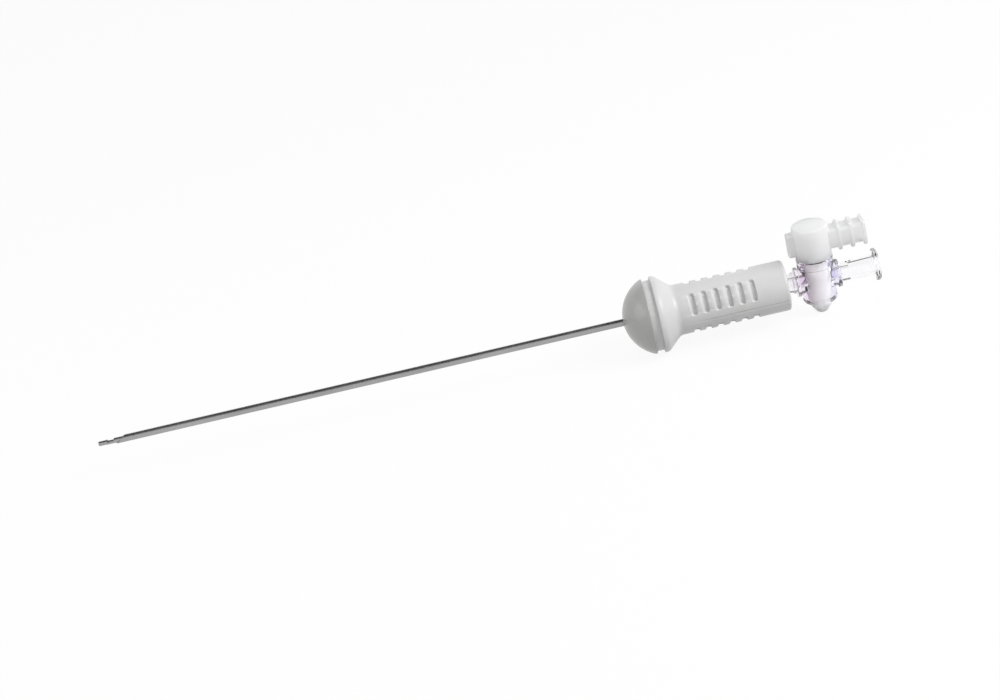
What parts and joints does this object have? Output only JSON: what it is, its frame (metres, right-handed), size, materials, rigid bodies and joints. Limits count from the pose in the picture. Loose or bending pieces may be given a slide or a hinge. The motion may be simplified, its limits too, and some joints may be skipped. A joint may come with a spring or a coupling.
{
  "type": "insufflation needle",
  "caption": "Straight insufflation needle: spring-loaded blunt stylet in a bevelled steel cannula, domed grey grip with thumb slots and a clear stopcock with a white lever at the rear.",
  "frame": {"origin": "on the needle axis at the apex of the domed nose, where the exposed needle begins", "axes": "+X along the needle axis to the rear, through the inlet; +Z along the axis of the valve plug, towards the lever's cap; the sharp point is at -X"},
  "size_m": [0.2287, 0.022, 0.0275],
  "materials": {
    "cannula_steel": "ground and drawn stainless tube",
    "stylet_steel": "drawn stainless tube",
    "spring_steel": "spring wire",
    "grey_shell": "satin light grey moulding",
    "grey_dome": "satin light grey moulding",
    "hub_plastic": "moulded inner piece",
    "seal_rubber": "black seal ring",
    "clear_body": "clear polycarbonate with a pale violet tint",
    "white_lever": "natural translucent white moulding"
  },
  "bodies": {
    "handle": {"needle_cannula": "cannula_steel", "cannula_hub": "hub_plastic", "dome_nose": "grey_dome", "upper_shell": "grey_shell", "lower_shell": "grey_shell", "stylet_seal": "seal_rubber", "seal_retainer": "hub_plastic", "rear_bush": "hub_plastic"},
    "carriage": {"stylet_tube": "stylet_steel", "stylet_tip": "stylet_steel", "stylet_hub": "hub_plastic", "return_spring": "spring_steel", "stopcock_body": "clear_body"},
    "lever": {"valve_lever": "white_lever"}
  },
  "joints": [
    {"name": "stylet_slide", "type": "slide", "parent": "handle", "child": "carriage", "axis": [1, 0, 0], "range_m": [0, 0.007], "stiffness_N_per_m": 250, "springref_m": -0.006, "deforming": ["return_spring"]},
    {"name": "lever_turn", "type": "hinge", "parent": "carriage", "child": "lever", "pos_m": [0.0563, 0, 0], "axis": [0, 0, 1], "range_deg": [0, 90]}
  ]
}
